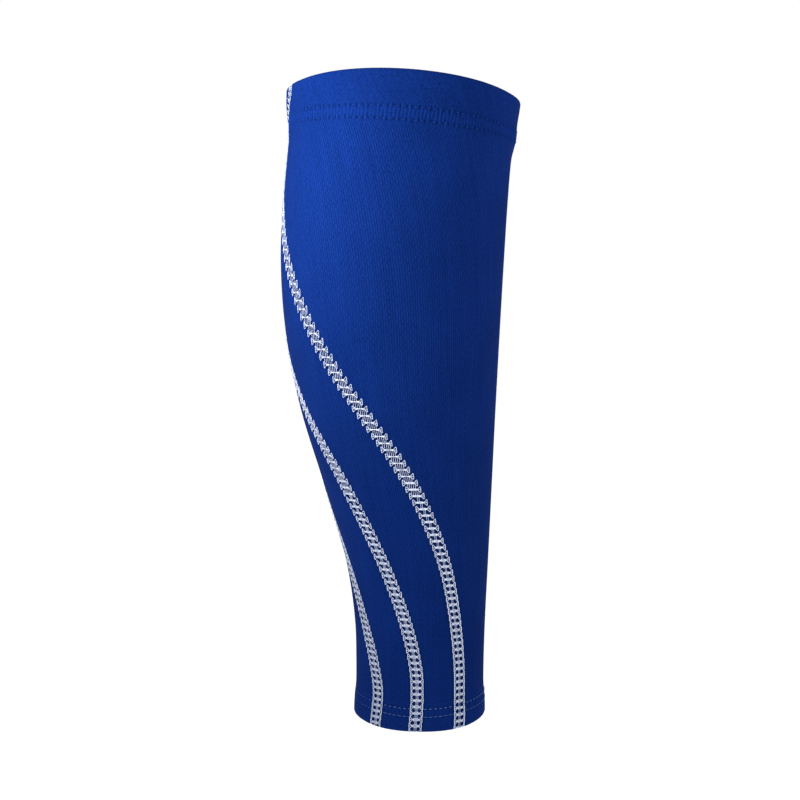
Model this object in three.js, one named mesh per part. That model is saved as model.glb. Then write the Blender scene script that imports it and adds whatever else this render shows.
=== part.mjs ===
import * as THREE from "three";

// Calf compression sleeve in the shape it takes on the leg. Millimetres.
// +X is the shin, -Y the outer side, +Z up; the origin is on the leg's axis at the ankle opening.

const CLOTH = 1; // one layer of knit
const HEM = 2; // turned hem, two layers
const HEM_RISE = 0.9; // how far a hem stands out from the panels
const GROOVE = 0.15; // how far the hem stitching draws the cloth in
const GAP = 0.3; // left between neighbouring pieces
const SEAM_WIDTH = 7; // flatlock band, measured round the leg
const SEAM_EDGE = 0.3; // thread thickness at the band's sides
const SEAM_CROWN = 0.5; // thread thickness at the band's middle

const HEIGHT_STEPS = 28; // rows of a panel from hem to hem
const HEM_STEPS = 48; // facets round a hem
const SEAM_STEPS = 44; // rows of a seam from edge to edge

// Outer sections of the sleeve: rearmost and foremost x, full width, and how much rounder
// the back is than the front.
const SECTIONS = [
  { z: 0, back: -32.5, front: 33.7, width: 61, egg: -0.04 },
  { z: 30, back: -32.4, front: 33.9, width: 60, egg: -0.04 },
  { z: 50, back: -33.0, front: 34.5, width: 61, egg: -0.02 },
  { z: 80, back: -37.1, front: 35.9, width: 67, egg: 0.02 },
  { z: 120, back: -48.0, front: 37.7, width: 81, egg: 0.06 },
  { z: 160, back: -60.2, front: 39.5, width: 96, egg: 0.08 },
  { z: 200, back: -67.6, front: 41.5, width: 105, egg: 0.08 },
  { z: 235, back: -70.1, front: 43.4, width: 109, egg: 0.08 },
  { z: 265, back: -68.4, front: 45.2, width: 110, egg: 0.07 },
  { z: 285, back: -66.4, front: 46.8, width: 110, egg: 0.06 },
  { z: 303, back: -65.6, front: 49.6, width: 111, egg: 0.05 },
  { z: 324, back: -65.6, front: 50.2, width: 112, egg: 0.04 },
];

// Seam azimuths in degrees: 0 at the shin, 90 at the outer side, 180 at the back of the calf.
const SEAMS = [
  { z: 0, front: 54.5, middle: 94.5, rear: 131.5 },
  { z: 18, front: 53.5, middle: 93, rear: 130 },
  { z: 30, front: 54, middle: 94, rear: 134 },
  { z: 50, front: 58, middle: 101, rear: 144.5 },
  { z: 80, front: 67, middle: 115, rear: 161 },
  { z: 120, front: 85, middle: 134, rear: 182 },
  { z: 160, front: 109, middle: 159, rear: 204 },
  { z: 200, front: 135, middle: 184, rear: 229 },
  { z: 240, front: 159, middle: 209, rear: 257 },
  { z: 275, front: 174.5, middle: 229, rear: 282 },
  { z: 290, front: 178, middle: 236, rear: 291 },
  { z: 300, front: 177, middle: 239, rear: 297 },
  { z: 307, front: 170, middle: 240, rear: 299 },
  { z: 314, front: 163, middle: 241, rear: 300 },
  { z: 324, front: 161, middle: 242, rear: 301 },
];

// Edges and hem rows round the leg: a mean height, a lean towards the shin, a saddle, and how
// square the line is.
const TOP_EDGE = { level: 320.1, lean: -3, saddle: -3, square: -0.45 };
const TOP_ROW = { level: 299.3, lean: -3.9, saddle: -0.5, square: 0 };
const ANKLE_ROW = { level: 12.6, lean: 0, saddle: 1.5, square: 0 };
const ANKLE_EDGE = { level: 1, lean: 0, saddle: 1, square: 0 };

const knit = (colour) => ({ color: colour, roughness: 0.85, metalness: 0 });
const PANEL_CLOTH = knit(0x12337f);
const HEM_CLOTH = knit(0x102d70);
const THREAD = { color: 0xd9dce0, roughness: 0.6, metalness: 0 };

const { smoothstep, lerp, degToRad } = THREE.MathUtils;

// A table's columns as smooth functions of height.
function curvesOf(rows) {
  const columns = Object.keys(rows[0]).filter((name) => name !== "z");
  const heights = rows.map((row) => row.z);
  const values = rows.flatMap((row) => columns.map((name) => row[name]));
  const spline = new THREE.CubicInterpolant(heights, values, columns.length);
  return (z) => {
    const found = spline.evaluate(z);
    return Object.fromEntries(columns.map((name, i) => [name, found[i]]));
  };
}

const sectionAt = curvesOf(SECTIONS);
const seamsAt = curvesOf(SEAMS);

const heightOf = (line, azimuth) =>
  line.level +
  line.lean * Math.cos(azimuth) +
  line.saddle * Math.cos(2 * azimuth) +
  line.square * Math.cos(4 * azimuth);

function sectionPoint(azimuth, z) {
  const { back, front, width, egg } = sectionAt(z);
  const x = (front + back) / 2 + ((front - back) / 2) * Math.cos(azimuth);
  const y = (-width / 2) * Math.sin(azimuth) * (1 - egg * Math.cos(azimuth));
  return new THREE.Vector3(x, y, z);
}

// The step up onto a hem and the groove along its stitching.
function hemRelief(azimuth, z) {
  const aboveTopRow = z - heightOf(TOP_ROW, azimuth);
  const belowAnkleRow = heightOf(ANKLE_ROW, azimuth) - z;
  const rise = smoothstep(aboveTopRow, -7, 6) + smoothstep(belowAnkleRow, -12, 7);
  const groove = Math.exp(-((aboveTopRow / 4) ** 2));
  return HEM_RISE * rise - GROOVE * groove;
}

// A point of the sleeve's outer face, moved outwards by lift.
function skin(azimuth, z, lift) {
  const step = 1e-3;
  const point = sectionPoint(azimuth, z);
  const around = sectionPoint(azimuth + step, z).sub(point);
  const up = sectionPoint(azimuth, z + step).sub(point);
  const normal = new THREE.Vector3().crossVectors(up, around).normalize();
  return point.addScaledVector(normal, hemRelief(azimuth, z) + lift);
}

// The angle that a length takes round the leg.
function angleOf(length, azimuth, z) {
  const step = 1e-3;
  const chord = sectionPoint(azimuth + step, z).distanceTo(sectionPoint(azimuth, z));
  return (length * step) / chord;
}

// Shares of a height, closer together at both ends where the hems are.
const shares = (steps) =>
  Array.from({ length: steps + 1 }, (_, i) => (1 - Math.cos((Math.PI * i) / steps)) / 2);

const evenly = (steps) => Array.from({ length: steps + 1 }, (_, i) => i / steps);

// A closed body swept through loops. A loop runs along the outer face and back along the inner
// face; an open sweep ends in a strip across its first and its last loop. Each quad is split along
// its shorter diagonal, which keeps a slanted wall smooth and even.
function sweep(loops, isRing) {
  const points = loops.flat();
  const size = loops[0].length;
  const index = [];
  const quad = (a, b, c, d) => {
    const acIsShorter = points[a].distanceTo(points[c]) < points[b].distanceTo(points[d]);
    index.push(...(acIsShorter ? [a, b, c, a, c, d] : [a, b, d, b, c, d]));
  };
  const at = (loop, point) => (loop % loops.length) * size + (point % size);
  const spans = isRing ? loops.length : loops.length - 1;
  for (let i = 0; i < spans; i++) {
    for (let j = 0; j < size; j++) {
      quad(at(i, j), at(i + 1, j), at(i + 1, j + 1), at(i, j + 1));
    }
  }
  if (!isRing) {
    const last = loops.length - 1;
    for (let j = 0; j < size / 2 - 1; j++) {
      const back = size - 1 - j;
      quad(at(0, j), at(0, j + 1), at(0, back - 1), at(0, back));
      quad(at(last, j + 1), at(last, j), at(last, back), at(last, back - 1));
    }
  }
  const geometry = new THREE.BufferGeometry().setFromPoints(points);
  geometry.setIndex(index);
  geometry.computeVertexNormals();
  return geometry;
}

const sleeve = new THREE.Group();

function addPiece(name, geometry, finish) {
  const mesh = new THREE.Mesh(geometry, new THREE.MeshStandardMaterial(finish));
  mesh.name = name;
  sleeve.add(mesh);
}

// A panel from one seam round to the next and from hem row to hem row.
function panel(fromSeam, toSeam, columns) {
  const place = (across, share) => {
    let z = lerp(ANKLE_ROW.level, TOP_ROW.level, share);
    let azimuth = 0;
    for (let pass = 0; pass < 6; pass++) {
      const from = degToRad(fromSeam(z));
      const to = degToRad(toSeam(z));
      const low = from + angleOf(GAP / 2, from, z);
      const high = to - angleOf(GAP / 2, to, z);
      azimuth = lerp(low, high, across);
      const foot = heightOf(ANKLE_ROW, azimuth) + GAP / 2;
      const head = heightOf(TOP_ROW, azimuth) - GAP / 2;
      z = lerp(foot, head, share);
    }
    return { azimuth, z };
  };
  const loops = shares(HEIGHT_STEPS).map((share) => {
    const spots = evenly(columns).map((across) => place(across, share));
    const outer = spots.map((spot) => skin(spot.azimuth, spot.z, 0));
    const inner = spots.map((spot) => skin(spot.azimuth, spot.z, -CLOTH));
    return [...outer, ...inner.reverse()];
  });
  return sweep(loops, false);
}

// A turned hem: up the outer face from its stitch row, over the fold and down the inner face.
function hem(row, edge) {
  const inwards = Math.sign(row.level - edge.level);
  const fold = HEM / 2;
  const loops = evenly(HEM_STEPS).slice(1).map((turn) => {
    const azimuth = 2 * Math.PI * turn;
    const start = heightOf(row, azimuth) - (inwards * GAP) / 2;
    const bend = heightOf(edge, azimuth) + inwards * fold;
    const rises = [0, 0.15, 0.3, 0.6, 1].map((share) => lerp(start, bend, share));
    const outer = rises.map((z) => skin(azimuth, z, 0));
    const turnOver = [45, 90, 135].map((degrees) => {
      const angle = degToRad(degrees);
      const z = bend - inwards * fold * Math.sin(angle);
      return skin(azimuth, bend, fold * (Math.cos(angle) - 1)).setZ(z);
    });
    const inner = rises.map((z) => skin(azimuth, z, -HEM)).reverse();
    const loop = [...outer, ...turnOver, ...inner];
    return inwards < 0 ? loop.reverse() : loop;
  });
  return sweep(loops, true);
}

// A flatlock band that lies over the joint of two panels and over both hems.
function seam(azimuthAt) {
  const sides = [-1, -0.5, 0, 0.5, 1];
  const loops = shares(SEAM_STEPS).map((share) => {
    let z = lerp(ANKLE_EDGE.level, TOP_EDGE.level, share);
    for (let pass = 0; pass < 4; pass++) {
      const here = degToRad(azimuthAt(z));
      const foot = heightOf(ANKLE_EDGE, here) + HEM / 2;
      const head = heightOf(TOP_EDGE, here) - HEM / 2;
      z = lerp(foot, head, share);
    }
    const middle = degToRad(azimuthAt(z));
    const half = angleOf(SEAM_WIDTH / 2, middle, z);
    const thick = (side) => lerp(SEAM_CROWN, SEAM_EDGE, side * side);
    const outer = sides.map((side) => skin(middle + half * side, z, GAP + thick(side)));
    const inner = sides.map((side) => skin(middle + half * side, z, GAP));
    return [...outer, ...inner.reverse()];
  });
  return sweep(loops, false);
}

const frontSeam = (z) => seamsAt(z).front;
const middleSeam = (z) => seamsAt(z).middle;
const rearSeam = (z) => seamsAt(z).rear;

addPiece("shin_panel", panel(rearSeam, (z) => frontSeam(z) + 360, 36), PANEL_CLOTH);
addPiece("side_panel", panel(frontSeam, middleSeam, 8), PANEL_CLOTH);
addPiece("calf_panel", panel(middleSeam, rearSeam, 8), PANEL_CLOTH);
addPiece("top_hem", hem(TOP_ROW, TOP_EDGE), HEM_CLOTH);
addPiece("ankle_hem", hem(ANKLE_ROW, ANKLE_EDGE), HEM_CLOTH);
addPiece("front_seam", seam(frontSeam), THREAD);
addPiece("middle_seam", seam(middleSeam), THREAD);
addPiece("rear_seam", seam(rearSeam), THREAD);

export default sleeve;
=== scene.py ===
import bpy
import bmesh
import math
import random
import numpy as np
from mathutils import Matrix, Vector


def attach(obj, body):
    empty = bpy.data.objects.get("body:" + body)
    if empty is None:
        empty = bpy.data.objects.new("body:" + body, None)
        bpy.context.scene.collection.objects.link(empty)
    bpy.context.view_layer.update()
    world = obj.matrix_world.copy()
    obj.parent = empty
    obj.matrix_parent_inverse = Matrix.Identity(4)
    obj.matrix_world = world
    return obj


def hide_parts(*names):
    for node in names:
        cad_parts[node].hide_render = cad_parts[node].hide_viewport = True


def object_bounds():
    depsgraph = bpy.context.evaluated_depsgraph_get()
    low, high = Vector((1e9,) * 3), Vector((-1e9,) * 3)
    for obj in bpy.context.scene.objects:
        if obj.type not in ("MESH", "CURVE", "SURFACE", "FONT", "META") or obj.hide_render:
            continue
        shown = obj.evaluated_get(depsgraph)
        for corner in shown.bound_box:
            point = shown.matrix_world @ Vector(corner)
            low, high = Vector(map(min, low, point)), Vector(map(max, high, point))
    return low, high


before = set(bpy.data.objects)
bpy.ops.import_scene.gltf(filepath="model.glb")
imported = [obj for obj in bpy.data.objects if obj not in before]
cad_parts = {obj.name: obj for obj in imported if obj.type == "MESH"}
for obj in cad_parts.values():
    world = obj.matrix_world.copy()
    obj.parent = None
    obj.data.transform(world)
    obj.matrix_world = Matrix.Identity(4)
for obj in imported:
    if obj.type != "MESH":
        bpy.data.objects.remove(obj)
cadLow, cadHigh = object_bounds()
mm = 0.001  # the sleeve's tables are in millimetres; the scene, flat sizes and lights are in metres
print("frame loaded:", sorted(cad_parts))

# camera at the photo's angle
cameraSet = dict(
    eye=(-9.5, -750, 213.8),
    aim=(-9.5, 0, 163.8),
    focalPixels=1465.7,  # focal length in pixels of the photo
    imagePixels=800,
    sensor=36,
)


def makeCamera():
    data = bpy.data.cameras.new("camera")
    data.sensor_width = cameraSet["sensor"]
    data.lens = cameraSet["sensor"] * cameraSet["focalPixels"] / cameraSet["imagePixels"]
    camera = bpy.data.objects.new("camera", data)
    bpy.context.scene.collection.objects.link(camera)
    camera.location = [mm * value for value in cameraSet["eye"]]
    fall = cameraSet["eye"][2] - cameraSet["aim"][2]
    reach = cameraSet["aim"][1] - cameraSet["eye"][1]
    camera.rotation_euler = (math.pi / 2 - math.atan2(fall, reach), 0, 0)
    bpy.context.scene.camera = camera


makeCamera()
print("camera set")

# the sleeve's sections on the leg: rearmost x, foremost x, full width, how much rounder the back is
legSections = [
    dict(z=0, back=-32.5, front=33.7, width=61, egg=-0.04),
    dict(z=30, back=-32.2, front=33.9, width=60, egg=-0.04),
    dict(z=50, back=-32.8, front=34.5, width=61, egg=-0.02),
    dict(z=80, back=-37.1, front=35.9, width=67, egg=0.02),
    dict(z=120, back=-48.3, front=37.7, width=81, egg=0.06),
    dict(z=160, back=-60.4, front=39.5, width=96, egg=0.08),
    dict(z=200, back=-67.9, front=41.5, width=105, egg=0.08),
    dict(z=235, back=-70.1, front=43.4, width=109, egg=0.08),
    dict(z=265, back=-68.7, front=45.2, width=110, egg=0.07),
    dict(z=285, back=-66.75, front=46.8, width=110, egg=0.06),
    dict(z=295, back=-65.7, front=48.3, width=110.5, egg=0.055),
    dict(z=303, back=-65.25, front=48.9, width=111, egg=0.05),
    dict(z=313, back=-65.95, front=50.4, width=111.5, egg=0.045),
    dict(z=324, back=-65.6, front=50.9, width=112, egg=0.04),
]

# where the seams run, in degrees round the leg: 0 shin, 90 outer side, 180 back of the calf
seamTurns = [
    dict(z=0, front=54.5, middle=94.5, rear=132),
    dict(z=18, front=53.5, middle=93, rear=130.5),
    dict(z=30, front=54, middle=94, rear=134.3),
    dict(z=50, front=58, middle=101, rear=145.4),
    dict(z=80, front=67, middle=115, rear=162),
    dict(z=120, front=85, middle=133.6, rear=182.5),
    dict(z=140, front=96.4, middle=144.6, rear=193),
    dict(z=160, front=109.4, middle=157.3, rear=204),
    dict(z=180, front=123, middle=170.5, rear=216),
    dict(z=200, front=135.6, middle=183.5, rear=229),
    dict(z=240, front=158.6, middle=209, rear=257),
    dict(z=258, front=168, middle=219.5, rear=270),
    dict(z=275, front=176, middle=229, rear=282),
    dict(z=290, front=178.5, middle=236, rear=291),
    dict(z=301, front=177, middle=239, rear=297),
    dict(z=308, front=170.5, middle=240, rear=299),
    dict(z=315, front=164, middle=241, rear=300),
    dict(z=324, front=162.5, middle=242, rear=301),
]

# edges and hem rows round the leg: mean height, lean towards the shin, saddle, how square it is
clothLines = dict(
    topEdge=dict(level=320.4, lean=-3.1, saddle=-2.8, square=-0.2),
    topSecondRow=dict(level=304.2, lean=-3.7, saddle=-1.3, square=0),
    topRow=dict(level=298.9, lean=-3.9, saddle=-0.5, square=0),
    ankleRow=dict(level=12.6, lean=0, saddle=1.5, square=0),
    ankleSecondRow=dict(level=8.7, lean=0, saddle=1.5, square=0),
    ankleEdge=dict(level=0.6, lean=0.1, saddle=1.3, square=0.3),
)

cloth = dict(
    thick=0.95,
    foldRadius=1.0,  # outside of a turned hem
    foldPress=0.8,  # threads lie this much flatter over a fold
    hemRise=0.9,
    topRise=(-9, 1),  # the cloth rises onto a hem between these distances from its first stitch row
    ankleRise=(-6, 9),
    hemGroove=0.15,
    grooveReach=4,
    hemJoin=2.5,  # panel and hem meet this far from the first stitch row
    seamDip=0.3,  # cloth drawn in under a flatlock seam
    hemDip=0.5,  # and drawn in more where it crosses the top hem
    seamReach=3.4,
    paintedSeamShade=0.4,  # painted shade: the cloth right under a seam is painted darker and the painted shade fades to plain between these distances from its middle
    shadeEdge=(2.6, 4.6),  # and fades to plain between these distances from its middle
    packed=0.12,  # how much closer the grid lines stand where a panel meets its seams
    wales=283,  # knit columns round the sleeve
    lean=0.0016,  # above leanFrom the columns swing back towards the calf
    leanFrom=196,
)


def tableCurve(rows, column):  # smooth curve through one column of a table
    heights = np.array([row["z"] for row in rows], float)
    values = np.array([row[column] for row in rows], float)
    secants = np.diff(values) / np.diff(heights)
    slopes = np.concatenate([secants[:1], (secants[:-1] + secants[1:]) / 2, secants[-1:]])

    def valueAt(z):
        z = np.clip(z, heights[0], heights[-1])
        i = np.clip(np.searchsorted(heights, z, side="right") - 1, 0, len(secants) - 1)
        span = heights[i + 1] - heights[i]
        t = (z - heights[i]) / span
        start = (1 + 2 * t) * (1 - t) ** 2 * values[i] + t * (1 - t) ** 2 * span * slopes[i]
        end = t * t * (3 - 2 * t) * values[i + 1] + t * t * (t - 1) * span * slopes[i + 1]
        return start + end

    return valueAt


sectionCurves = [tableCurve(legSections, name) for name in ("back", "front", "width", "egg")]
seamCurves = {name: tableCurve(seamTurns, name) for name in ("front", "middle", "rear")}


def smoothStep(value, low, high):
    t = np.clip((value - low) / (high - low), 0, 1)
    return t * t * (3 - 2 * t)


def hump(value, width):
    return np.exp(-(value / width) ** 2)


def lineHeight(name, turn):
    line = clothLines[name]
    wave = line["saddle"] * np.cos(2 * turn) + line["square"] * np.cos(4 * turn)
    return line["level"] + line["lean"] * np.cos(turn) + wave


def sectionPoint(turn, z):
    back, front, width, egg = (curve(z) for curve in sectionCurves)
    x = (front + back) / 2 + (front - back) / 2 * np.cos(turn)
    y = -width / 2 * np.sin(turn) * (1 - egg * np.cos(turn))
    return np.stack([x, y, z + 0 * turn], axis=-1)


def legRadius(turn, z):  # millimetres of cloth for each radian round the leg
    step = 1e-4
    return np.linalg.norm(sectionPoint(turn + step, z) - sectionPoint(turn, z), axis=-1) / step


def fromSeam(name, turn, z):  # distance round the leg from a seam's middle
    away = turn - np.radians(seamCurves[name](z))
    away = (away + math.pi) % (2 * math.pi) - math.pi
    return away * legRadius(turn, z)


# painted shade under the seams, strongest at a seam's middle
def paintedSeamShade(turn, z):
    nearest = np.min([np.abs(fromSeam(name, turn, z)) for name in seamCurves], axis=0)
    return cloth["paintedSeamShade"] * (1 - smoothStep(nearest, *cloth["shadeEdge"]))


hemStitch = dict(
    topPitch=2.95,
    anklePitch=2.6,
    dimple=0.36,  # how deep a needle hole draws the cloth
    dimpleReach=0.7,
    dimpleBetween=0.06,  # share of that depth left between two holes
    ankleDepth=0.6,  # the ankle hem is drawn in less
    puckerPitch=1.84,
    pucker=0.13,
    puckerLift=0.45,  # puckers stand out more than they sink
    puckerSlant=0.35,  # and lean from one row to the other
    puckerFade=(-2, 1),  # they start and end about the two rows
    drifts=[(0.4, 1.7, 0), (0.3, 0.61, 2)],  # they wander along the hem: how far, how fast, from where
    uneven=(0.15, 0.83, 1),  # and grow and shrink, in the same terms
    backFrom=dict(top=(2.5, 2.8), ankle=(2.2, 2.5)),  # turns where the back of the leg begins
    backTo=(4.6, 5.0),  # and ends
    backEase=0.5,  # the rows are drawn in less there
)

fullTurn = np.linspace(0, 2 * math.pi, 721)


def rowLengths(which):  # length along a hem's first row up to each step of a full turn
    loop = sectionPoint(fullTurn, lineHeight(which + "Row", fullTurn))
    return np.concatenate([[0], np.cumsum(np.linalg.norm(np.diff(loop, axis=0), axis=1))])


stitchCounts = {}
for which in ("top", "ankle"):
    stitchCounts[which] = round(rowLengths(which)[-1] / hemStitch[which + "Pitch"])


def stitchTurn(which, index):  # the needle holes stand evenly by length, not by angle
    length = rowLengths(which)
    return np.interp(np.asarray(index) / stitchCounts[which] * length[-1], length, fullTurn)


def stitchIndex(which, turn):
    index = np.linspace(0, stitchCounts[which], len(fullTurn))
    return np.interp(turn % (2 * math.pi), stitchTurn(which, index), index)


def atBack(which, turn):
    turn = turn % (2 * math.pi)
    return smoothStep(turn, *hemStitch["backFrom"][which]) * (1 - smoothStep(turn, *hemStitch["backTo"]))


def hemPull(turn, z):  # needle dimples along the rows and puckers between them
    pull = np.zeros_like(z)
    reach = hemStitch["dimpleReach"]
    between = hemStitch["dimpleBetween"]
    fade = hemStitch["puckerFade"]
    change, rate, first = hemStitch["uneven"]
    for which, side, depth in (("top", 1, 1), ("ankle", -1, hemStitch["ankleDepth"])):
        pitch = hemStitch[which + "Pitch"]
        index = stitchIndex(which, turn)
        holes = hump(((index + 0.5) % 1 - 0.5) * pitch, reach)
        fromRow = (z - lineHeight(which + "Row", turn)) * side
        fromSecond = (z - lineHeight(which + "SecondRow", turn)) * side
        dimple = hemStitch["dimple"] * (1 - hemStitch["backEase"] * atBack(which, turn))
        for away in (fromRow, fromSecond):
            pull -= depth * dimple * hump(away, reach) * (between + (1 - between) * holes)
        waver = hemStitch["puckerSlant"] * fromRow
        for far, fast, start in hemStitch["drifts"]:
            waver += far * np.sin(index * fast + start)
        fold = index * pitch / hemStitch["puckerPitch"] + waver / (2 * math.pi)
        ripple = hemStitch["puckerLift"] + np.cos(2 * math.pi * fold)
        strength = depth * (1 - change + change * np.sin(index * rate + first))
        window = smoothStep(fromRow, *fade) * smoothStep(-fromSecond, *fade)
        pull += hemStitch["pucker"] * ripple * strength * window
    return pull


def relief(turn, z):
    aboveTop = z - lineHeight("topRow", turn)
    belowAnkle = lineHeight("ankleRow", turn) - z
    groove = cloth["grooveReach"]
    rise = smoothStep(aboveTop, *cloth["topRise"]) + smoothStep(belowAnkle, *cloth["ankleRise"])
    out = cloth["hemRise"] * rise - cloth["hemGroove"] * hump(aboveTop, groove)
    dip = cloth["seamDip"] + cloth["hemDip"] * smoothStep(aboveTop, -groove, groove)
    for name in seamCurves:
        out -= dip * hump(fromSeam(name, turn, z), cloth["seamReach"])
    return out + hemPull(turn, z)


def onCloth(turn, run, lift):
    # run is the height on the outer face; past an edge it turns over the fold and goes on inside
    fold = cloth["foldRadius"]
    top = lineHeight("topEdge", turn) - fold
    low = lineHeight("ankleEdge", turn) + fold
    over = np.maximum(run - top, 0) + np.maximum(low - run, 0)
    side = np.where(run > top, 1, -1)
    bend = np.minimum(over / fold, math.pi)
    lift = lift * (1 - cloth["foldPress"] * np.sin(bend))
    z = np.clip(run, low, top) - side * np.maximum(over - math.pi * fold, 0)
    step = 1e-3
    point = sectionPoint(turn, z)
    around = sectionPoint(turn + step, z) - point
    up = sectionPoint(turn, z + step) - point
    normal = np.cross(up, around)
    normal /= np.linalg.norm(normal, axis=-1, keepdims=True)
    outwards = relief(turn, z) * np.cos(bend / 2) ** 2 + fold * (np.cos(bend) - 1) + lift * np.cos(bend)
    point = point + normal * outwards[..., None]
    point[..., 2] += side * np.sin(bend) * (fold + lift)
    return point * mm


# materials


def newMaterial(name):
    material = bpy.data.materials.new(name)
    material.use_nodes = True
    nodes = material.node_tree.nodes
    return material, nodes, material.node_tree.links, nodes["Principled BSDF"]


def mathNode(nodes, links, operation, first, second=None):
    node = nodes.new("ShaderNodeMath")
    node.operation = operation
    for socket, value in zip(node.inputs, (first, second)):
        if isinstance(value, (int, float)):
            socket.default_value = value
        elif value is not None:
            links.new(value, socket)
    return node.outputs[0]


def noiseNode(nodes, links, vector, scale, detail):
    noise = nodes.new("ShaderNodeTexNoise")
    noise.inputs["Scale"].default_value = scale
    noise.inputs["Detail"].default_value = detail
    links.new(vector, noise.inputs["Vector"])
    return noise.outputs["Fac"]


def scaledNode(nodes, links, vector, scale):
    mapping = nodes.new("ShaderNodeMapping")
    mapping.inputs["Scale"].default_value = scale
    links.new(vector, mapping.inputs["Vector"])
    return mapping.outputs[0]


def addColour(nodes, links, shader, value, ramp, colours):
    node = nodes.new("ShaderNodeValToRGB")
    for element, position, colour in zip(node.color_ramp.elements, ramp, colours):
        element.position = position
        element.color = (*colour, 1)
    links.new(value, node.inputs["Fac"])
    links.new(node.outputs["Color"], shader.inputs["Base Color"])


def addBump(nodes, links, shader, height, strength, distance):
    bump = nodes.new("ShaderNodeBump")
    bump.inputs["Strength"].default_value = strength
    bump.inputs["Distance"].default_value = distance
    links.new(height, bump.inputs["Height"])
    links.new(bump.outputs["Normal"], shader.inputs["Normal"])


knitLook = dict(
    # the knit's valley and crest colours: its loops are painted darker in their valleys and lighter on
    # their crests, as painted shade, besides the yarn's own streaks, dye and flecks
    valley=(0.0025, 0.0145, 0.100),
    crest=(0.0061, 0.0340, 0.236),
    ramp=(0.25, 0.85),  # lightness at which the valley and the crest colour are reached
    darken=0.12,
    roughness=0.75,
    specular=0.015,
    specularTint=(0.35, 0.5, 1.0),
    dash=3.2,  # length of a light dash up a wale, in mm
    dashFade=0.4,  # how much it fades at its ends
    course=0.62,  # height of one loop, in mm
    slant=1.3,  # slant of a loop's two legs, in loops to half a wale
    legFade=0.28,
    streakScale=(0.6, 0.02, 1),  # to a wale, and to a mm up it
    dyeScale=35,
    patchy=0.3,  # strength of the streaks and the dye
    fleckScale=(0.9, 0.7, 1),
    fleck=0.5,
    loop=0.15,
    bump=0.5,
    loopDepth=0.00016,
    drawn=1.2,  # how strongly the painted shade and highlight of the hems' dimples and puckers, and the painted shade under the seams, go into the colour
)


def makeKnit(name, paintedLightFactor, lines):  # lines is how strongly the light dashes show; the colour factor, above 1, makes a lighter copy of the knit as painted light
    material, nodes, links, shader = newMaterial(name)

    def calc(operation, first, second=None):
        return mathNode(nodes, links, operation, first, second)

    uv = nodes.new("ShaderNodeUVMap")
    uv.uv_map = "knit"
    parts = nodes.new("ShaderNodeSeparateXYZ")
    links.new(uv.outputs["UV"], parts.inputs[0])
    wale, rise = parts.outputs[0], parts.outputs[1]
    # painted highlight and shade: light dashes up each wale, darker between, every other wale half a
    # dash higher
    across = calc("COSINE", calc("MULTIPLY", calc("SUBTRACT", calc("FRACT", wale), 0.5), math.pi))
    stagger = calc("MULTIPLY", calc("FLOOR", wale), 0.5)
    step = calc("ADD", calc("DIVIDE", rise, knitLook["dash"]), stagger)
    along = calc("COSINE", calc("MULTIPLY", calc("SUBTRACT", calc("FRACT", step), 0.5), math.pi))
    fade = knitLook["dashFade"]
    dash = calc("MULTIPLY", across, calc("ADD", calc("MULTIPLY", along, fade), 1 - fade))
    # fine loops, two chevrons to a wale, painted lighter on their crests and darker in their valleys on
    # top of their bump
    column = calc("SUBTRACT", calc("FRACT", calc("MULTIPLY", wale, 2)), 0.5)
    crown = calc("COSINE", calc("MULTIPLY", column, math.pi))
    slant = calc("MULTIPLY", calc("ABSOLUTE", column), knitLook["slant"])
    course = calc("ADD", calc("DIVIDE", rise, knitLook["course"]), slant)
    wave = calc("COSINE", calc("MULTIPLY", course, 2 * math.pi))
    leg = calc("ADD", calc("MULTIPLY", wave, knitLook["legFade"]), 1 - knitLook["legFade"])
    loop = calc("MULTIPLY", crown, leg)
    # faint streaks up the wales and slow patches of dye
    stretch = scaledNode(nodes, links, uv.outputs["UV"], knitLook["streakScale"])
    streak = noiseNode(nodes, links, stretch, 1, 3)
    place = nodes.new("ShaderNodeTexCoord")
    dye = noiseNode(nodes, links, place.outputs["Object"], knitLook["dyeScale"], 4)
    patches = calc("MULTIPLY", calc("ADD", streak, dye), knitLook["patchy"])
    # uneven yarn, one fleck to a few loops
    fleckGrid = scaledNode(nodes, links, uv.outputs["UV"], knitLook["fleckScale"])
    fleck = calc("MULTIPLY", noiseNode(nodes, links, fleckGrid, 1, 1), knitLook["fleck"])
    yarn = calc("ADD", fleck, calc("MULTIPLY", loop, knitLook["loop"]))
    # painted shade and highlight from the stitch dimples, puckers and seams, stored on the mesh
    paintedShading = nodes.new("ShaderNodeAttribute")
    paintedShading.attribute_name = "paintedShading"
    drawn = calc("ADD", yarn, calc("MULTIPLY", paintedShading.outputs["Fac"], knitLook["drawn"]))
    plain = calc("SUBTRACT", drawn, knitLook["darken"] + lines / 2)
    lightness = calc("ADD", patches, calc("ADD", calc("MULTIPLY", dash, lines), plain))
    colours = [[paintedLightFactor * part for part in knitLook[end]] for end in ("valley", "crest")]
    addColour(nodes, links, shader, lightness, knitLook["ramp"], colours)
    addBump(nodes, links, shader, calc("ADD", loop, dash), knitLook["bump"], knitLook["loopDepth"])
    shader.inputs["Roughness"].default_value = knitLook["roughness"]
    shader.inputs["Specular IOR Level"].default_value = knitLook["specular"]
    shader.inputs["Specular Tint"].default_value = (*knitLook["specularTint"], 1)
    return material


threadLook = dict(fibre=1800, ramp=(0.3, 0.65), bump=0.6, fuzz=0.00006, roughness=0.6)


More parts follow.
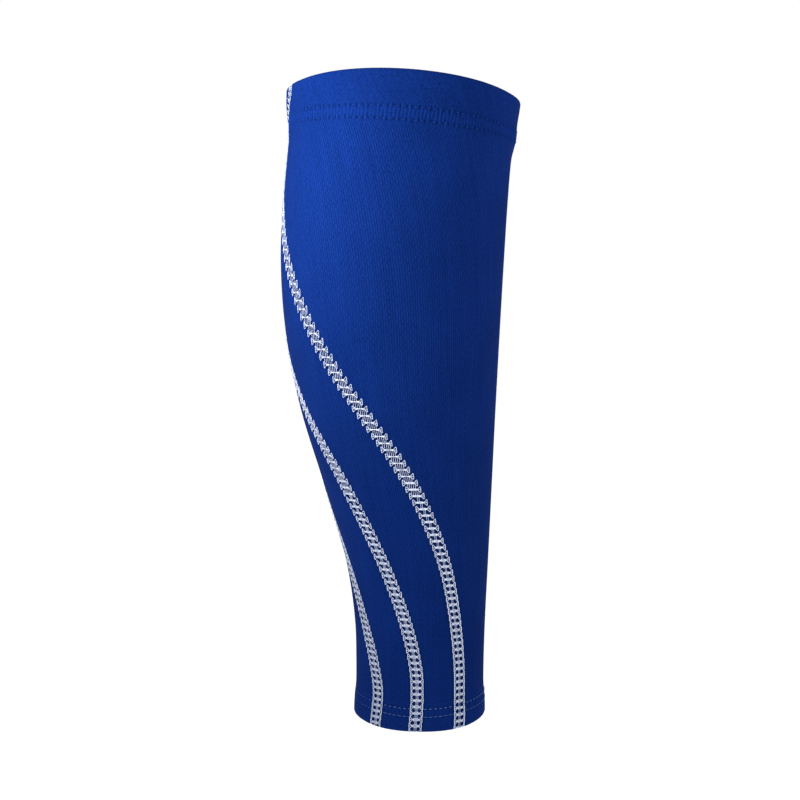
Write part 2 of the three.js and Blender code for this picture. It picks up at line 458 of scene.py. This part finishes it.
def makeThread(name, dark, light, specular):
    material, nodes, links, shader = newMaterial(name)
    place = nodes.new("ShaderNodeTexCoord")
    ply = noiseNode(nodes, links, place.outputs["Object"], threadLook["fibre"], 3)  # twisted fibres
    addColour(nodes, links, shader, ply, threadLook["ramp"], (dark, light))
    addBump(nodes, links, shader, ply, threadLook["bump"], threadLook["fuzz"])
    shader.inputs["Roughness"].default_value = threadLook["roughness"]
    shader.inputs["Specular IOR Level"].default_value = specular
    return material


# the hems are lighter copies of the same knit: painted light on the top hem, a painted highlight band at
# the ankle
knitMaterial = makeKnit("royal_knit", 1.0, 0.5)
topHemPaintedLighterKnit = makeKnit("royal_knit_hem_painted_lighter", 1.02, 0.25)
ankleHemPaintedHighlightKnit = makeKnit("royal_knit_ankle_painted_highlight", 1.1, 0.25)
whiteThread = makeThread("white_thread", (0.515, 0.58, 0.765), (0.66, 0.73, 0.90), 0.06)
blueThread = makeThread("blue_thread", (0.005, 0.032, 0.19), (0.011, 0.062, 0.33), 0.03)
paleThread = makeThread("pale_blue_thread", (0.05, 0.12, 0.36), (0.11, 0.22, 0.56), 0.1)
print("materials made")


# cloth pieces


def clothGrid(name, columns, rows, layOut, material, isRing):
    # a flat grid wrapped onto the leg; layOut turns shares of the grid into turn and run
    bm = bmesh.new()
    bmesh.ops.create_grid(bm, x_segments=columns, y_segments=rows, size=0.5)
    bm.verts.ensure_lookup_table()
    flat = np.array([vert.co for vert in bm.verts]) + 0.5
    turn, run = layOut(1 - flat[:, 0], flat[:, 1])
    points = onCloth(turn, run, np.zeros_like(turn))
    paintedShading = bm.verts.layers.float.new("paintedShading")  # painted shade and highlight: cloth drawn in at the stitches and under the seams painted darker, pucker crests lighter
    for vert, pull in zip(bm.verts, hemPull(turn, run) - paintedSeamShade(turn, run)):
        vert[paintedShading] = pull
    knit = bm.loops.layers.uv.new("knit")
    swing = cloth["lean"] * np.maximum(run - cloth["leanFrom"], 0) ** 2
    waleAt = turn / (2 * math.pi) * cloth["wales"] - swing
    for face in bm.faces:
        for loop in face.loops:
            loop[knit].uv = (waleAt[loop.vert.index], run[loop.vert.index])
    for vert, point in zip(bm.verts, points):
        vert.co = point
    if isRing:
        bmesh.ops.remove_doubles(bm, verts=bm.verts, dist=1e-6)
    for face in bm.faces:
        face.smooth = True
    for edge in bm.edges:
        edge.smooth = not edge.is_boundary
    mesh = bpy.data.meshes.new(name)
    bm.to_mesh(mesh)
    bm.free()
    piece = bpy.data.objects.new(name, mesh)
    bpy.context.scene.collection.objects.link(piece)
    mesh.materials.append(material)
    wall = piece.modifiers.new("wall", "SOLIDIFY")
    wall.thickness = cloth["thick"] * mm
    wall.offset = -1
    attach(piece, "root")
    return piece


def closeAtEnds(share):
    return share - cloth["packed"] * np.sin(2 * math.pi * share)


# each panel goes from one seam to another; turns brings the end seam's angle past the start's
panelRows = 150
panels = [
    dict(name="shin_cloth", node="shin_panel", start="rear", end="front", turns=360, columns=150,
         flat=(0.235, 0.29), area=0.050),
    dict(name="side_cloth", node="side_panel", start="front", end="middle", turns=0, columns=36,
         flat=(0.075, 0.33), area=0.0103),
    dict(name="calf_cloth", node="calf_panel", start="middle", end="rear", turns=0, columns=36,
         flat=(0.075, 0.33), area=0.0096),
]


def makePanel(spec):
    def layOut(across, up):
        across = closeAtEnds(across)
        run = clothLines["ankleRow"]["level"] * (1 - up) + clothLines["topRow"]["level"] * up
        for settle in range(8):  # turn and height each depend on the other
            start = np.radians(seamCurves[spec["start"]](run))
            end = np.radians(seamCurves[spec["end"]](run) + spec["turns"])
            turn = start * (1 - across) + end * across
            low = lineHeight("ankleRow", turn) + cloth["hemJoin"]
            run = low * (1 - up) + (lineHeight("topRow", turn) - cloth["hemJoin"]) * up
        return turn, run

    piece = clothGrid(spec["name"], spec["columns"], panelRows, layOut, knitMaterial, False)
    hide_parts(spec["node"])
    return piece


bluePieces, whitePieces = [], []
for spec in panels:
    bluePieces.append(makePanel(spec))
    print("panel made:", spec["name"])

hems = [
    dict(name="top_hem_cloth", node="top_hem", which="top", columns=1040, rows=42,
         flat=(0.30, 0.046)),
    dict(name="ankle_hem_cloth", node="ankle_hem", which="ankle", columns=480, rows=34,
         flat=(0.175, 0.028)),
]
hemFold = dict(
    rawEdge=2.0,  # the turned layer ends this far past the stitch row
    rowShare=(0, 0.8, 1),  # most grid rows lie on the outer face and round the fold, fewer inside
    lengthShare=(0, 0.56, 1),
)


def makeHem(spec):
    which = spec["which"]
    isTop = which == "top"

    def layOut(across, up):
        turn = 2 * math.pi * (across if isTop else 1 - across)
        side = 1 if isTop else -1
        start = lineHeight(which + "Row", turn) - side * cloth["hemJoin"]
        bend = lineHeight(which + "Edge", turn) - side * cloth["foldRadius"]
        outer = abs(bend - start)
        whole = 2 * outer - cloth["hemJoin"] + math.pi * cloth["foldRadius"] + hemFold["rawEdge"]
        share = np.interp(up, hemFold["rowShare"], hemFold["lengthShare"])
        return turn, start + side * share * whole

    material = topHemPaintedLighterKnit if isTop else ankleHemPaintedHighlightKnit
    piece = clothGrid(spec["name"], spec["columns"], spec["rows"], layOut, material, True)
    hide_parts(spec["node"])
    return piece


for spec in hems:
    bluePieces.append(makeHem(spec))
    print("hem made:", spec["name"])


# threads


def threadMesh(name, threads, thick, material):
    # a thread is its points, their radius factors and whether it is closed; all become one mesh of tubes
    data = bpy.data.curves.new(name, "CURVE")
    data.dimensions = "3D"
    data.bevel_depth = thick / 2 * mm
    data.bevel_resolution = 1
    data.use_fill_caps = True
    for points, radii, closed in threads:
        spline = data.splines.new("POLY")
        spline.points.add(len(points) - 1)
        spline.points.foreach_set("co", np.column_stack([points, np.ones(len(points))]).ravel())
        spline.points.foreach_set("radius", np.asarray(radii, float))
        spline.use_cyclic_u = closed
        spline.use_smooth = True
    source = bpy.data.objects.new(name + "_source", data)
    bpy.context.scene.collection.objects.link(source)
    ready = source.evaluated_get(bpy.context.evaluated_depsgraph_get())
    mesh = bpy.data.meshes.new_from_object(ready)
    mesh.name = name
    mesh.materials.clear()
    mesh.materials.append(material)
    bpy.data.objects.remove(source)
    bpy.data.curves.remove(data)
    piece = bpy.data.objects.new(name, mesh)
    bpy.context.scene.collection.objects.link(piece)
    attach(piece, "root")
    return piece


def layThreads(plans):
    # a plan is turn, run, lift and thickness for each point, and whether the thread is closed;
    # all go onto the cloth in one step
    points = onCloth(*[np.concatenate([plan[i] for plan in plans]) for i in range(3)])
    cuts = np.cumsum([len(plan[0]) for plan in plans])[:-1]
    return [(part, plan[3], plan[4]) for part, plan in zip(np.split(points, cuts), plans)]


# a point of a stitch is across and along in mm from its middle, lift off the cloth, thickness factor
flatlock = dict(
    pitch=dict(front=3.3, middle=3.15, rear=2.95),
    unit=3.1,  # pitch the shapes below are drawn for
    thread=0.32,
    seed=11,
    shift=0.05,  # how far a whole stitch strays, in mm
    loose=0.04,  # and each point of it
    edgeAt=dict(ankle=0, top=320),  # heights where a seam crosses the edges
    hemAt=dict(ankle=16, top=297),  # and the hems' first rows
    heights=(0, 322),  # stitches past these are inside a hem and look as those at the edge
    # heights where the cloth begins to change, has changed, begins to change back and is back
    stretchZone=(50, 170, 292, 308),
    legZone=(55, 145, 292, 308),
    calfZone=(140, 250, 285, 305),
    pressZone=(296, 308),
    widthLow=0.81,  # narrower at the hems, where the cloth is less stretched
    widthLeg=0.18,
    widthCalf=0.08,
    calfPitch=0.32,  # the calf draws the stitches apart
    calfThin=dict(fan=0.2, bar=-0.1, line=0.35),  # and thins the long threads
    calfSpread=0.15,  # and draws the needle threads apart
    pressed=dict(width=0.14, pitch=0.2, lift=0.5),  # drawn tight and flat over the top hem
    fanShort=0.05,  # stretched side loops are shorter and slimmer
    fanSlim=0.17,
    knotSwell=2,  # and the knots at the ends of a bar are pulled round
    slackBelow=0.7,  # less stretched than this, the cover threads bunch up over the needle threads
    gather=0.6,
    lineAbove=0.6,  # more stretched than this, all the needle threads show
    lineRun=(0.2, 1.55, 2.9),  # a needle thread goes from one bar over a low bow to the next
    lineBow=0.04,
    lineLift=(0.06, 0.14),  # slack, and how much more when stretched
    lineThick=(0.43, 0.14),
    fan=[(1.70, 0.0, 0.38, 1.2), (2.62, 0.60, 0.30, 0.85), (3.46, 1.44, 0.20, 1.0),
         (3.70, 1.30, 0.17, 1.0), (3.76, 0.0, 0.22, 1.0), (3.70, -1.30, 0.17, 1.0),
         (3.46, -1.44, 0.20, 1.0), (2.62, -0.60, 0.30, 0.85)],
    rib=[(1.70, 0.0, 0.38, 0.9), (2.7, 0.02, 0.31, 0.72), (3.74, 0.0, 0.22, 0.66)],
    bar=[(-2.15, 0, 0.28, 0.9), (-1.72, 0, 0.42, 1.75), (-1.1, 0.04, 0.43, 1.15), (0, 0.06, 0.42, 0.95),
         (1.1, 0.04, 0.43, 1.15), (1.72, 0, 0.42, 1.75), (2.15, 0, 0.28, 0.9)],
    slackBar=[(-1.6, 0.36, 0.27, 0.95), (-0.95, 0.54, 0.33, 0.95), (0, 0.62, 0.28, 0.7),
              (0.95, 0.54, 0.33, 0.95), (1.6, 0.36, 0.27, 0.95)],
    needleLines=(-1.9, -0.95, 0.0, 0.95, 1.9),  # long threads between one bar and the next
    slackLines=dict(front=(-0.42, 0.42), middle=(-0.65, 0.0, 0.65), rear=(-0.65, 0.0, 0.65)),
    innerReach=2.9,  # half the width of the seam's back
    innerLift=0.15,
    overEdge=dict(ankle=12.5, top=22.0),  # how far the stitching goes on inside a turned hem
    underHem=3.5,  # the back of a seam starts this far from a hem's first row
)


def zoneShare(z, start, full, fade=None, end=None):
    share = smoothStep(z, start, full)
    if fade is not None:
        share *= 1 - smoothStep(z, fade, end)
    return float(share)


def seamStitches(name, rng):
    spec = flatlock
    tight = spec["pressed"]

    def seamTurn(z):
        return float(np.radians(seamCurves[name](np.asarray(z, float))))

    middle = lineHeight("ankleEdge", seamTurn(spec["edgeAt"]["ankle"])) - spec["overEdge"]["ankle"]
    last = lineHeight("topEdge", seamTurn(spec["edgeAt"]["top"])) + spec["overEdge"]["top"]
    plans = []
    while middle < last:
        height = float(np.clip(middle, *spec["heights"]))
        turn = seamTurn(height)
        radius = float(legRadius(np.array(turn), np.array(height)))
        stretched = zoneShare(height, *spec["stretchZone"])
        pressed = zoneShare(height, *spec["pressZone"])
        pull = zoneShare(height, *spec["calfZone"])
        leg = zoneShare(height, *spec["legZone"])
        wide = spec["widthLow"] + spec["widthLeg"] * leg + spec["widthCalf"] * pull
        wide -= tight["width"] * pressed
        pitch = spec["pitch"][name] * (1 + spec["calfPitch"] * pull) * (1 - tight["pitch"] * pressed)
        tall = pitch / spec["unit"]
        shift = rng.uniform(-spec["shift"], spec["shift"])

        def lay(points, kind, sideways=1, flip=1, closed=False):
            across, along, lift, thick = np.array(points, float).T
            strays = [rng.uniform(-spec["loose"], spec["loose"]) for value in range(3 * len(points))]
            loose = np.reshape(strays, (3, -1))  # across, along and up for each point
            turns = turn + (sideways * (across + loose[0]) * wide + shift) / radius
            runs = middle + flip * along * tall + loose[1]
            lift = lift * (1 - tight["lift"] * pressed) + loose[2] / 2
            plans.append((turns, runs, lift, thick * (1 - spec["calfThin"][kind] * pull), closed))

        fan = np.array(spec["fan"])
        fan[:, 1] *= 1 - spec["fanShort"] * stretched
        fan[:, 3] *= 1 - spec["fanSlim"] * stretched
        bar = np.array(spec["bar"])
        bar[:, 3] = 1 + (bar[:, 3] - 1) * (1 + spec["knotSwell"] * stretched)
        for sideways in (1, -1):
            lay(fan, "fan", sideways, closed=True)
            lay(spec["rib"], "fan", sideways)
        lay(bar, "bar")
        if stretched < spec["slackBelow"]:
            bunch = np.array(spec["slackBar"])
            bunch[:, 1] *= 1 - spec["gather"] * stretched
            lay(bunch, "bar")
            lay(bunch, "bar", flip=-1)
        halfway = (seamTurn(height + pitch / 2) - turn) * radius / wide
        low, thin = (slack + more * stretched for slack, more in (spec["lineLift"], spec["lineThick"]))
        start, crown, end = spec["lineRun"]
        bow = low + spec["lineBow"]
        lines = spec["needleLines"] if stretched > spec["lineAbove"] else spec["slackLines"][name]
        for across in lines:
            line = across * (1 + spec["calfSpread"] * pull) + halfway
            lay([(line, start, low, thin), (line, crown, bow, thin), (line, end, low, thin)], "line")
        middle += pitch
    return layThreads(plans)


def innerStitches(name):
    # the plain back of the seam: a zigzag between two long threads on the inner face
    spec = flatlock
    atAnkle, atTop = (np.radians(seamCurves[name](spec["hemAt"][hem])) for hem in ("ankle", "top"))
    low = lineHeight("ankleRow", atAnkle) + spec["underHem"]
    high = lineHeight("topRow", atTop) - spec["underHem"]
    steps = np.arange(low, high, spec["pitch"][name] / 2)
    turns = np.radians(seamCurves[name](steps))
    radius = legRadius(turns, steps)
    lift = np.full(len(steps), -cloth["thick"] - spec["innerLift"])
    edge = np.full(len(steps), spec["innerReach"])
    swing = np.where(np.arange(len(steps)) % 2 == 0, edge, -edge)
    return layThreads([(turns + across / radius, steps, lift, np.ones(len(steps)), False)
                       for across in (swing, -swing, edge, -edge)])


dice = random.Random(flatlock["seed"])
for name in ("front", "middle", "rear"):
    thick = flatlock["thread"]
    stitches = seamStitches(name, dice)
    piece = threadMesh(name + "_flatlock", stitches, thick, whiteThread)
    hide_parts(name + "_seam")
    stitches = innerStitches(name)
    inside = threadMesh(name + "_flatlock_inside", stitches, thick, whiteThread)
    whitePieces += [piece, inside]
    print("seam sewn:", name)

coverstitch = dict(
    thread=0.30,
    # one dash from hole to hole: share of its length from its middle, lift off the cloth
    dash=[(-0.40, -0.45), (-0.30, -0.05), (-0.16, 0.14), (0, 0.18),
          (0.16, 0.14), (0.30, -0.05), (0.40, -0.45)],
    # a dash in each row: length in stitches, stand, thickness factor
    top=dict(Row=(0.7, 0.03, 1.0), SecondRow=(0.7, 0.03, 1.0)),
    ankle=dict(Row=(0.66, 0.14, 1.15), SecondRow=(1.15, 0.04, 0.85)),
    sunk=0.5,  # share of its thickness that a dash loses at the back of the leg
    sinkDepth=0.3,  # and how far it sinks, in mm to a whole share
    looper=0.34,
    looperLift=0.12,
)


def hemStitches(which):
    shares = np.array([share for share, lift in coverstitch["dash"]])
    lifts = np.array([lift for share, lift in coverstitch["dash"]])
    plans = []
    for row, (length, stand, thick) in coverstitch[which].items():
        for index in range(stitchCounts[which]):
            turns = stitchTurn(which, index + 0.5 + length * shares)
            heights = lineHeight(which + row, turns)
            sunk = coverstitch["sunk"] * atBack(which, turns)
            lift = lifts + stand - coverstitch["sinkDepth"] * sunk
            plans.append((turns, heights, lift, thick * (1 - sunk), False))
    return layThreads(plans)


def looperStitches(which):
    # zigzag cover threads over the raw edge, on the inner face of the hem
    side = 1 if which == "top" else -1
    count = 2 * stitchCounts[which]
    turns = stitchTurn(which, np.arange(count) / 2)
    bend = lineHeight(which + "Edge", turns) - side * cloth["foldRadius"]
    near, far = lineHeight(which + "Row", turns), lineHeight(which + "SecondRow", turns)
    plans = []
    for phase in (0, 1):
        heights = np.where((np.arange(count) + phase) % 2 == 0, near, far)
        runs = bend + side * (math.pi * cloth["foldRadius"] + np.abs(bend - heights))
        plans.append((turns, runs, np.full(count, coverstitch["looperLift"]), np.ones(count), True))
    return layThreads(plans)


for which in ("top", "ankle"):
    thread = blueThread if which == "top" else paleThread
    stitches = hemStitches(which)
    dashes = threadMesh(which + "_hem_stitches", stitches, coverstitch["thread"], thread)
    stitches = looperStitches(which)
    loops = threadMesh(which + "_hem_looper", stitches, coverstitch["looper"], blueThread)
    bluePieces += [dashes, loops]
    print("hem sewn:", which)

# floor and light
studio = dict(
    floorDrop=0.25,
    floorSize=6,
    floorShade=(0.9, 0.9, 0.9),
    floorRoughness=0.9,
    floorGlow=(0.455, 0.68),  # as the sleeve sees it, as the camera sees it
    worldGlow=(0.425, 1.0),
    lampSize=0.12,
)

# a light shines on the blue or the white pieces alone, because light enough for blue burns white out;
# a narrow spread, in degrees, keeps it on one part of the leg
studioLights = [
    dict(name="key", on=bluePieces, power=0.415, spread=98,
         place=(-0.233, -0.201, 0.335), aim=(-0.03, -0.02, 0.27)),
    dict(name="rim", on=bluePieces, power=0.11, spread=70,
         place=(0.44, -0.24, 0.38), aim=(0.03, 0, 0.30)),
    dict(name="thread_key", on=whitePieces, power=0.225, spread=44,
         place=(-0.18, -0.40, 0.31), aim=(-0.02, -0.03, 0.255)),
    dict(name="thread_front", on=whitePieces, power=0.15, spread=36,
         place=(0.08, -0.69, 0.07), aim=(0, 0, 0.07)),
]


def seenWhite(nodes, links, glow, socket):  # brighter to the camera than to the sleeve
    path = nodes.new("ShaderNodeLightPath")
    strength = nodes.new("ShaderNodeMapRange")
    strength.inputs["To Min"].default_value = glow[0]
    strength.inputs["To Max"].default_value = glow[1]
    links.new(path.outputs["Is Camera Ray"], strength.inputs["Value"])
    links.new(strength.outputs[0], socket)


def makeLight(spec):
    data = bpy.data.lights.new(spec["name"], "AREA")
    data.energy = spec["power"]
    data.shape = "SQUARE"
    data.size = studio["lampSize"]
    data.spread = math.radians(spec["spread"])
    light = bpy.data.objects.new(spec["name"], data)
    bpy.context.scene.collection.objects.link(light)
    light.location = spec["place"]
    away = [aim - place for aim, place in zip(spec["aim"], spec["place"])]
    tilt = math.atan2(math.hypot(away[0], away[1]), -away[2])
    light.rotation_euler = (tilt, 0, math.atan2(away[1], away[0]) - math.pi / 2)
    lit = bpy.data.collections.new(spec["name"] + "_lit")
    for piece in spec["on"]:
        lit.objects.link(piece)
    light.light_linking.receiver_collection = lit


def makeFloor():
    bm = bmesh.new()
    bmesh.ops.create_grid(bm, x_segments=1, y_segments=1, size=studio["floorSize"])
    bmesh.ops.translate(bm, verts=bm.verts, vec=(0, 0, cadLow[2] - studio["floorDrop"]))
    mesh = bpy.data.meshes.new("floor")
    bm.to_mesh(mesh)
    bm.free()
    floor = bpy.data.objects.new("floor", mesh)
    bpy.context.scene.collection.objects.link(floor)
    material, nodes, links, shader = newMaterial("pale_floor")
    shader.inputs["Base Color"].default_value = (*studio["floorShade"], 1)
    shader.inputs["Roughness"].default_value = studio["floorRoughness"]
    shader.inputs["Emission Color"].default_value = (1, 1, 1, 1)
    seenWhite(nodes, links, studio["floorGlow"], shader.inputs["Emission Strength"])
    mesh.materials.append(material)


def makeWorld():
    world = bpy.data.worlds.new("studio")
    bpy.context.scene.world = world
    world.use_nodes = True
    nodes, links = world.node_tree.nodes, world.node_tree.links
    background = nodes["Background"]
    background.inputs["Color"].default_value = (1, 1, 1, 1)
    seenWhite(nodes, links, studio["worldGlow"], background.inputs["Strength"])


makeFloor()
makeWorld()
for spec in studioLights:
    makeLight(spec)
bpy.context.scene.view_settings.view_transform = "Standard"
print("studio lit")
